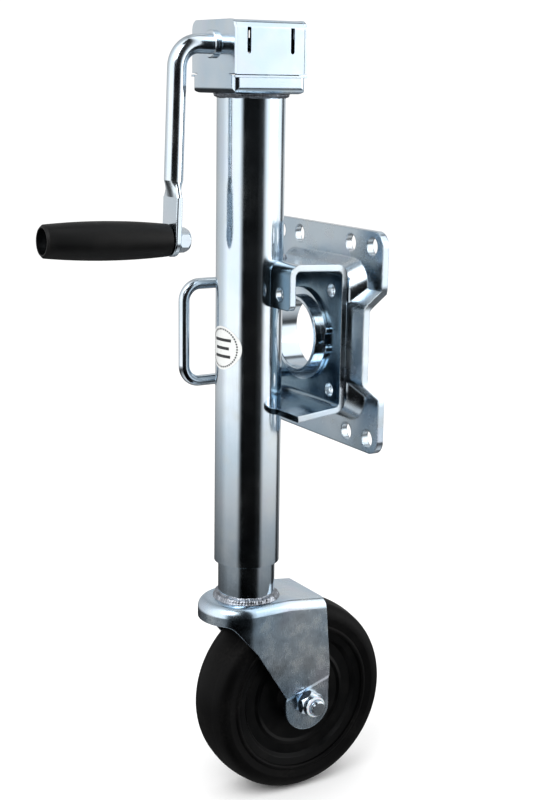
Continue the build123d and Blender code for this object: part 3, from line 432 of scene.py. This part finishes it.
def skin(rings, closed_path, closed_ring=True, caps=False):
    """Vertices and quads that join a row of equal rings of points."""
    count = len(rings[0])
    vertices = [p for ring in rings for p in ring]
    faces = []
    turns = len(rings) if closed_path else len(rings) - 1
    for i in range(turns):
        first, second = i * count, (i + 1) % len(rings) * count
        for k in range(count if closed_ring else count - 1):
            following = (k + 1) % count
            faces.append((first + k, second + k, second + following, first + following))
    if caps and not closed_path:
        faces.append(tuple(range(count)))
        faces.append(tuple(range((len(rings) - 1) * count, len(rings) * count)))
    return vertices, faces


# Weld beads: points across one, points along each ripple, how far its edge sinks into the plates, how much
# of its nominal leg it fills, how far a ripple curves like a crescent, how flat its face is, and its uneven
# swelling.
BEAD_ACROSS = 8
BEAD_ALONG = 8
BEAD_SINK = 0.0004
BEAD_FILL = 0.86
BEAD_TOE = 0.95
BEAD_CRESCENT = 1.26
BEAD_FLAT = 0.80
BEAD_ROUND = 0.14
BEAD_END = 1.6
THREAD_FADE = 1.5


def bead_rings(stations, leg_out, leg_up, pitch, depth, taper=False):
    """Cross sections of a weld bead with crescent ripples.

    Each station is (corner point, direction along the plate, direction up the wall, distance along the bead).
    """
    rings = []
    total = stations[-1][3]
    for corner, out, up, run in stations:
        fade = 1.0
        if taper:
            fade = min(1.0, *((part + 0.4 * pitch) / (BEAD_END * pitch) for part in (run, total - run)))
        ring = [corner - (out + up) * BEAD_SINK]
        for k in range(BEAD_ACROSS + 1):
            across = k / BEAD_ACROSS
            turn = across * math.pi / 2
            wander = 0.07 * math.sin(run / pitch * 0.83 + 1.3) + 0.06 * math.sin(run / pitch * 0.37)
            wander += 0.04 * math.sin(run / pitch * 2.3 + 4 * across)
            if k in (0, BEAD_ACROSS):
                swell = BEAD_TOE + wander * 0.5
            else:
                ripple = abs(math.sin(math.pi * (run / pitch + BEAD_CRESCENT * (across - 0.5) ** 2))) ** 0.7
                swell = BEAD_FILL + wander + depth / leg_out * (ripple - 0.6)
                swell *= BEAD_FLAT + BEAD_ROUND * math.sin(2 * turn)
            reach = out * (leg_out * math.cos(turn)) + up * (leg_up * math.sin(turn))
            ring.append(corner + reach * swell * fade)
        rings.append(ring)
    return rings


def ring_bead(name, body, material, centre, radius, z, up, leg_out, leg_up, replaced):
    """A weld bead right round a tube."""
    detail = bpy.context.scene.jack_detail
    around = 2 * math.pi * radius
    ripples = round(around / detail.ripple_pitch)
    pitch = around / ripples
    stations = []
    for i in range(ripples * BEAD_ALONG):
        turn = 2 * math.pi * i / (ripples * BEAD_ALONG)
        out = Vector((math.cos(turn), math.sin(turn), 0))
        corner = Vector((centre.x, centre.y, z)) + out * radius
        stations.append((corner, out, Vector((0, 0, up)), around * i / (ripples * BEAD_ALONG)))
    rings = bead_rings(stations, leg_out, leg_up, pitch, detail.ripple_depth)
    vertices, faces = skin(rings, True)
    return new_piece(name, body, material, vertices, faces, replaced, 60)


def thread_piece(name, body, material, start, direction, major, minor, pitch, run):
    """A helical thread with closed ends, as one solid that fades out at both ends."""
    direction = Vector(direction).normalized()
    side = direction.orthogonal().normalized()
    cross = direction.cross(side)
    steps = 40
    total = int(run / pitch * steps)
    # Share of the pitch along the bolt, and share of the thread's height.
    profile = ((0.0, 0.0), (0.25, 1.0), (0.6, 1.0), (1.0, 0.0))
    rows = []
    for i in range(total + steps + 1):
        turn = 2 * math.pi * i / steps
        radial = side * math.cos(turn) + cross * math.sin(turn)
        row = []
        for along, height in profile:
            travel = (i / steps - 1 + along) * pitch
            inside = min(max(travel, 0.0), run)
            edge = max(0.0, min(1.0, THREAD_FADE * travel / pitch, THREAD_FADE * (run - travel) / pitch))
            radius = minor + (major - minor) * height * edge
            row.append(Vector(start) + direction * inside + radial * radius)
        rows.append(row)
    vertices, faces = skin(rows, False, closed_ring=False)
    return new_piece(name, body, material, vertices, faces, (), 35)


# ---------------------------------------------------------------- pieces


class JACK_OT_plated_steel(bpy.types.Operator):
    """Bright zinc plate on the tubes, brackets, gearbox, fork and rods"""

    bl_idname = "jack.plated_steel"
    bl_label = "Plated steel"

    def execute(self, context):
        drawn = zinc_plate("zinc_plated_drawn_tube", grain=(1, 1, 0.02), grain_mm=0.5, smooth=0.08, rough=0.17,
                           tint=0.7)
        # Painted shade: the pressed and bent plates are darkened on their faces along X, a little on the
        # mounting bracket and strongly on the swivel bracket.
        pressed = zinc_plate("zinc_plated_pressed_sheet", grain=(1, 0.3, 1), rough=0.3, edge_mm=1.6, deep=0.3)
        bent = zinc_plate("zinc_plated_bent_plate", grain=(1, 0.3, 1), smooth=0.1, rough=0.22, edge_mm=1.2,
                          deep=0.95)
        folded = zinc_plate("zinc_plated_folded_sheet", grain=(1, 0.3, 1), smooth=0.1, rough=0.2, edge_mm=0.5)
        fork = zinc_plate("zinc_plated_deep_drawn_yoke", grain=(1, 1, 0.2), smooth=0.14, rough=0.3, tint=1.5,
                          edge_mm=0.9)
        bar = zinc_plate("zinc_plated_cold_drawn_bar", grain=(1, 1, 0.3), grain_mm=0.4, smooth=0.1, rough=0.22,
                         tint=0.6)
        fixing = zinc_plate("zinc_plated_cold_headed_fixing", smooth=0.12, rough=0.24, tint=0.9)
        paint(drawn, "outer_tube", "inner_tube", "pivot_collar")
        paint(pressed, "mount_bracket")
        paint(bent, "swivel_bracket")
        paint(folded, "gearbox_base", "gearbox_cover")
        paint(fork, "fork")
        paint(bar, "crank_arm", "lock_handle", "crank_bushing")
        paint(fixing, "retaining_ring", "grip_bolt", "grip_nut", "axle_bolt", "axle_nut",
              "axle_washers", "lock_washers", "lock_cross_pins", "lock_springs")
        return {"FINISHED"}


class JACK_OT_inner_works(bpy.types.Operator):
    """Greased steel and bronze inside the tube and gearbox"""

    bl_idname = "jack.inner_works"
    bl_label = "Inner works"

    def execute(self, context):
        paint(greased_steel(), "bearing_plate", "upper_race", "lower_race", "thrust_balls", "hub_washer",
              "pinion", "pinion_pin", "crank_clip", "jack_screw", "screw_gear", "screw_gear_pin", "drive_nut",
              "hub_sleeve")
        paint(sintered_bronze(), "crank_far_bushing")
        return {"FINISHED"}


class JACK_OT_wheel(bpy.types.Operator):
    """Rubber tyre and moulded wheel centre"""

    bl_idname = "jack.wheel"
    bl_label = "Wheel"

    def execute(self, context):
        paint(tyre_rubber(), "tyre")
        paint(wheel_polypropylene(), "wheel_centre")
        return {"FINISHED"}


class JACK_OT_grip(bpy.types.Operator):
    """Moulded crank grip"""

    bl_idname = "jack.grip"
    bl_label = "Grip"

    def execute(self, context):
        paint(moulded_vinyl(), "crank_grip")
        return {"FINISHED"}


class JACK_OT_welds(bpy.types.Operator):
    """Rippled weld beads at the gearbox, fork, swivel bracket and pivot collar"""

    bl_idname = "jack.welds"
    bl_label = "Welds"

    def execute(self, context):
        metal = plated_weld()
        tube, inner = centre_of("outer_tube"), centre_of("inner_tube")
        tube_r, inner_r = size_of("outer_tube").x / 2, size_of("inner_tube").x / 2
        box_size, fork_size = size_of("box_weld"), size_of("fork_weld")
        ring_bead("gearbox_weld_bead", "post", metal, tube, tube_r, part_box("outer_tube")[1][2], -1,
                  box_size.x / 2 - tube_r, box_size.z, ("box_weld",))
        ring_bead("fork_weld_bead", "caster", metal, inner, inner_r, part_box("inner_tube")[0][2], 1,
                  fork_size.x / 2 - inner_r, fork_size.z, ("fork_weld",))
        self.flange_beads(metal, tube, tube_r)
        self.collar_bead(metal)
        return {"FINISHED"}

    def flange_beads(self, metal, tube, tube_r):
        """Beads where the swivel bracket's two flanges meet the tube, seated on the flanges' real slope."""
        detail = bpy.context.scene.jack_detail
        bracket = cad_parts["swivel_bracket"]
        seat = BVHTree.FromObject(bracket, bpy.context.evaluated_depsgraph_get())
        low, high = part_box("swivel_bracket")
        reach = math.acos((low[0] + 0.020 - tube.x) / tube_r)
        vertices, faces = [], []
        for up, height in ((1, high[2] + 0.01), (-1, low[2] - 0.01)):
            steps = int(2 * reach * tube_r / detail.ripple_pitch * BEAD_ALONG)
            stations = []
            for i in range(steps + 1):
                turn = -reach + 2 * reach * i / steps
                out = Vector((math.cos(turn), math.sin(turn), 0))
                above = tube + out * (tube_r + 0.0008)
                hit = seat.ray_cast(Vector((above.x, above.y, height)), Vector((0, 0, -up)))[0]
                corner = Vector((tube.x, tube.y, hit.z)) + out * tube_r
                stations.append((corner, out, Vector((0, 0, up)), 2 * reach * tube_r * i / steps))
            rings = bead_rings(stations, 0.0042, 0.0044, detail.ripple_pitch, detail.ripple_depth, taper=True)
            more, quads = skin(rings, False, caps=True)
            faces += [tuple(v + len(vertices) for v in quad) for quad in quads]
            vertices += more
        new_piece("bracket_weld_beads", "post", metal, vertices, faces, ("tube_welds",), 60)

    def collar_bead(self, metal):
        """Bead in the hollow side of the mounting bracket, round the pivot collar's end."""
        detail = bpy.context.scene.jack_detail
        collar = size_of("pivot_collar").z / 2
        bead = size_of("collar_weld")
        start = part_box("collar_weld")[0][0]
        around = 2 * math.pi * collar
        ripples = round(around / detail.ripple_pitch)
        stations = []
        for i in range(ripples * BEAD_ALONG):
            turn = 2 * math.pi * i / (ripples * BEAD_ALONG)
            out = Vector((0, math.cos(turn), math.sin(turn)))
            corner = Vector((start, 0, 0)) + out * (collar - 0.0012)
            stations.append((corner, out, Vector((1, 0, 0)), around * i / (ripples * BEAD_ALONG)))
        leg = bead.z / 2 - collar + 0.0012
        rings = bead_rings(stations, leg, bead.x, around / ripples, detail.ripple_depth)
        vertices, faces = skin(rings, True)
        new_piece("collar_weld_bead", "mount", metal, vertices, faces, ("collar_weld",), 60)


class JACK_OT_threads(bpy.types.Operator):
    """Thread on the axle bolt's free end and the lock nut's nylon ring"""

    bl_idname = "jack.threads"
    bl_label = "Thread and nylon ring"

    def execute(self, context):
        detail = context.scene.jack_detail
        metal = zinc_plate("zinc_plated_rolled_thread", smooth=0.14, rough=0.28)
        axle = centre_of("axle_nut")
        bolt_low, nut_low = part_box("axle_bolt")[0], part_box("axle_nut")[0]
        bolt_r = self.bolt_radius("axle_bolt", axle, bolt_low[1] + 0.002)
        start = Vector((axle.x, nut_low[1] + 0.0002, axle.z))
        thread_piece("axle_bolt_thread", "caster", metal, start, (0, -1, 0), bolt_r + 0.0001, bolt_r - 0.0005,
                     detail.axle_pitch, nut_low[1] - bolt_low[1] - 0.0012)
        self.nylon(axle, nut_low[1], bolt_r)
        return {"FINISHED"}

    def bolt_radius(self, node, centre, y):
        """Radius of a bolt's shank, read from its vertices near one end."""
        near = [v.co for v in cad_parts[node].data.vertices if abs(v.co.y - y) < 0.003]
        return max(math.hypot(p.x - centre.x, p.z - centre.z) for p in near)

    def nylon(self, centre, y, bore):
        """The lock nut's insert: a low ring in the nut's mouth round the bolt."""
        profile = ((bore + 0.0001, 0.0006), (bore + 0.0001, -0.0005), (bore + 0.0007, -0.0009),
                   (bore + 0.0015, -0.0008), (bore + 0.0019, -0.0002), (bore + 0.0019, 0.0006))
        rings = []
        for i in range(72):
            turn = 2 * math.pi * i / 72
            out = Vector((math.cos(turn), 0, math.sin(turn)))
            rings.append([Vector((centre.x, y + along, centre.z)) + out * r for r, along in profile])
        vertices, faces = skin(rings, True)
        new_piece("axle_nut_insert", "caster", nylon_ring(), vertices, faces)


# The label's print, in metres: its dots, and its bars, which are cut into steps to follow the tube.
PRINT_LIFT = 0.00042
DOT_RADIUS = 0.0007
BAR_PITCH = 0.0062
BAR_HALVES = (0.0092, 0.0074, 0.0086)
BAR_HALF_HIGH = 0.0011
BAR_STEPS = 14


class JACK_OT_label(bpy.types.Operator):
    """White label with a dotted border and plain bars"""

    bl_idname = "jack.label"
    bl_label = "Label"

    def execute(self, context):
        paint(label_vinyl(), "capacity_label")
        detail = context.scene.jack_detail
        tube = centre_of("outer_tube")
        film_r = size_of("outer_tube").x / 2 + PRINT_LIFT
        low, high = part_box("capacity_label")
        middle = centre_of("capacity_label")
        points = [v.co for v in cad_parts["capacity_label"].data.vertices]
        mean = sum((Vector((p.x - tube.x, p.y - tube.y, 0)).normalized() for p in points), Vector())
        facing = math.atan2(mean.y, mean.x)
        radius = (high[2] - low[2]) / 2
        vertices, faces = [], []

        def stamp(outline):
            """Wraps a flat outline, in metres across and up, on the label."""
            first = len(vertices)
            for across, up in outline:
                turn = facing + across / film_r
                x, y = tube.x + film_r * math.cos(turn), tube.y + film_r * math.sin(turn)
                vertices.append((x, y, middle.z + up))
            faces.append(tuple(range(first, len(vertices))))

        for i in range(detail.label_dots):
            turn = 2 * math.pi * i / detail.label_dots
            x, z = 0.87 * radius * math.cos(turn), 0.87 * radius * math.sin(turn)
            rim = [math.pi * k / 6 for k in range(12)]
            stamp([(x + DOT_RADIUS * math.cos(a), z + DOT_RADIUS * math.sin(a)) for a in rim])
        for k in range(detail.label_bars):
            height = (detail.label_bars - 1) / 2 - k
            z, half = height * BAR_PITCH, BAR_HALVES[k % 3]
            low_edge, high_edge = z - BAR_HALF_HIGH, z + BAR_HALF_HIGH
            for i in range(BAR_STEPS):
                left, right = -half + 2 * half * i / BAR_STEPS, -half + 2 * half * (i + 1) / BAR_STEPS
                stamp([(left, low_edge), (right, low_edge), (right, high_edge), (left, high_edge)])
        new_piece("label_print", "post", printed_ink(), vertices, faces)
        return {"FINISHED"}


# ---------------------------------------------------------------- stage

# What bright metal mirrors: brightness of the walls against the angle round the jack, in degrees from +X.
# A dark screen stands in front between -144 and -77, and a narrow dark gap behind at +8 to +20.
AROUND = ((-180, 0.97), (-156, 0.97), (-144, 0.03), (-140, 0.008), (-96, 0.008), (-77, 0.05), (-63, 0.97),
          (-20, 1.0), (0, 0.95), (8, 0.1), (20, 0.12), (30, 0.6), (80, 0.34), (110, 0.5), (135, 0.62),
          (160, 0.97), (180, 0.97))
# The same against the height as an angle: a dark skirting lies between the walls and the pale floor.
UPWARD = ((-90, 0.7), (-50, 0.45), (-28, 0.07), (-21, 0.09), (-16, 0.55), (-12, 1.0), (90, 1.0))


class JACK_OT_stage(bpy.types.Operator):
    """Pale floor, soft studio light and the camera"""

    bl_idname = "jack.stage"
    bl_label = "Stage"

    def execute(self, context):
        self.floor(context)
        self.surroundings(context)
        self.lamps(context)
        self.camera(context)
        context.scene.view_settings.view_transform = "Standard"
        context.scene.view_settings.look = "Medium High Contrast"
        return {"FINISHED"}

    def floor(self, context):
        half = context.scene.jack_stage.floor_size / 2
        z = CAD_BOX[0][2] - 0.0002
        mesh = bpy.data.meshes.new("studio_floor")
        corners = [(-half, -half, z), (half, -half, z), (half, half, z), (-half, half, z)]
        mesh.from_pydata(corners, [], [(0, 1, 2, 3)])
        plain, _, shader, _ = surface("matt_studio_paper", Metallic=0.0)
        shader.inputs["Base Color"].default_value = context.scene.jack_colours.floor
        shader.inputs["Roughness"].default_value = 0.9
        shader.inputs["Specular IOR Level"].default_value = 0.0
        mesh.materials.append(plain)
        floor = bpy.data.objects.new("studio_floor", mesh)
        context.scene.collection.objects.link(floor)
        # The steel mirrors the studio's walls and its dark screen, not the paper under it.
        floor.visible_glossy = False

    def surroundings(self, context):
        """White studio walls with one dark screen, which bright metal shows as a black stripe."""
        world = bpy.data.worlds.new("white_studio")
        context.scene.world = world
        world.use_nodes = True
        tree = world.node_tree
        tree.nodes.clear()
        outward = add(tree, "ShaderNodeTexCoord").outputs["Generated"]
        x, y, z = add(tree, "ShaderNodeSeparateXYZ", None, Vector=outward).outputs
        turn = add(tree, "ShaderNodeMath", {"operation": "ARCTAN2"}, i0=y, i1=x).outputs[0]
        around = self.ramp(tree, span(tree, turn, -math.pi, math.pi, 0, 1),
                           [((degree + 180) / 360, value) for degree, value in AROUND])
        upward = self.ramp(tree, span(tree, z, -1, 1, 0, 1),
                           [(0.5 + 0.5 * math.sin(math.radians(degree)), value) for degree, value in UPWARD])
        shade = add(tree, "ShaderNodeVectorMath", {"operation": "MULTIPLY"}, i0=around, i1=upward).outputs[0]
        path = add(tree, "ShaderNodeLightPath")
        diffuse = mix(tree, path.outputs["Is Camera Ray"], (0.76, 0.76, 0.76, 1.0), (0.72, 0.72, 0.72, 1.0))
        colour_seen = mix(tree, path.outputs["Is Glossy Ray"], diffuse, shade)
        light = add(tree, "ShaderNodeBackground", {"Strength": 1.25}, Color=colour_seen)
        output = add(tree, "ShaderNodeOutputWorld")
        tree.links.new(light.outputs[0], output.inputs["Surface"])

    def ramp(self, tree, value, stops):
        """A grey ramp over a value, from (position, brightness) stops."""
        node = add(tree, "ShaderNodeValToRGB", None, Fac=value)
        for place, level in stops[1:-1]:
            node.color_ramp.elements.new(place)
        for element, (place, level) in zip(node.color_ramp.elements, stops):
            element.position = place
            element.color = (level, level, level, 1.0)
        return node.outputs[0]

    def lamps(self, context):
        """Two large soft lamps: a key from the upper left and a weaker fill from the right."""
        target = Vector((centre_of("outer_tube").x, 0, 0))
        for name, place, size, power in (("key_softbox", (-1.6, -1.0, 1.7), 1.6, 26.0),
                                         ("fill_softbox", (1.7, -1.3, 0.6), 1.4, 8.0)):
            data = bpy.data.lights.new(name, "AREA")
            data.shape = "SQUARE"
            data.size = size
            data.energy = power
            lamp = bpy.data.objects.new(name, data)
            lamp.location = place
            lamp.rotation_euler = (target - Vector(place)).to_track_quat("-Z", "Y").to_euler()
            context.scene.collection.objects.link(lamp)

    def camera(self, context):
        stage = context.scene.jack_stage
        data = bpy.data.cameras.new("camera")
        data.lens = stage.lens
        data.sensor_width = 36.0
        data.clip_start = 0.01
        camera = bpy.data.objects.new("camera", data)
        right = Vector((math.cos(stage.azimuth), math.sin(stage.azimuth), 0))
        towards = Vector((-math.sin(stage.azimuth) * math.cos(stage.elevation),
                          math.cos(stage.azimuth) * math.cos(stage.elevation), -math.sin(stage.elevation)))
        up = right.cross(towards)
        turned = Matrix.Rotation(-stage.roll, 3, towards)
        right, up = turned @ right, turned @ up
        aim = Vector((centre_of("outer_tube").x, 0, 0)) + right * stage.aim_right - up * stage.aim_down
        place = aim - towards * stage.distance
        camera.matrix_world = Matrix((right, up, -towards)).transposed().to_4x4()
        camera.matrix_world.translation = place
        context.scene.collection.objects.link(camera)
        context.scene.camera = camera


# ---------------------------------------------------------------- panel and registration

STEPS = ("plated_steel", "inner_works", "wheel", "grip", "welds", "threads", "label", "stage")


class JACK_PT_panel(bpy.types.Panel):
    """Lists the jack's pieces and their settings"""

    bl_idname = "JACK_PT_panel"
    bl_label = "Trailer Tongue Jack"
    bl_space_type = "VIEW_3D"
    bl_region_type = "UI"
    bl_category = "Jack"

    def draw(self, context):
        for step in STEPS:
            self.layout.operator(f"jack.{step}")
        for group in (context.scene.jack_colours, context.scene.jack_detail, context.scene.jack_stage):
            box = self.layout.box()
            for key in group.bl_rna.properties.keys():
                if key not in ("rna_type", "name"):
                    box.prop(group, key)


CLASSES = (
    JackColours,
    JackDetail,
    JackStage,
    JACK_OT_plated_steel,
    JACK_OT_inner_works,
    JACK_OT_wheel,
    JACK_OT_grip,
    JACK_OT_welds,
    JACK_OT_threads,
    JACK_OT_label,
    JACK_OT_stage,
    JACK_PT_panel,
)


def register():
    for kind in CLASSES:
        bpy.utils.register_class(kind)
    bpy.types.Scene.jack_colours = PointerProperty(type=JackColours)
    bpy.types.Scene.jack_detail = PointerProperty(type=JackDetail)
    bpy.types.Scene.jack_stage = PointerProperty(type=JackStage)


def unregister():
    del bpy.types.Scene.jack_stage
    del bpy.types.Scene.jack_detail
    del bpy.types.Scene.jack_colours
    for kind in reversed(CLASSES):
        bpy.utils.unregister_class(kind)


def main():
    register()
    for step in STEPS:
        getattr(bpy.ops.jack, step)()


if __name__ == "__main__":
    main()
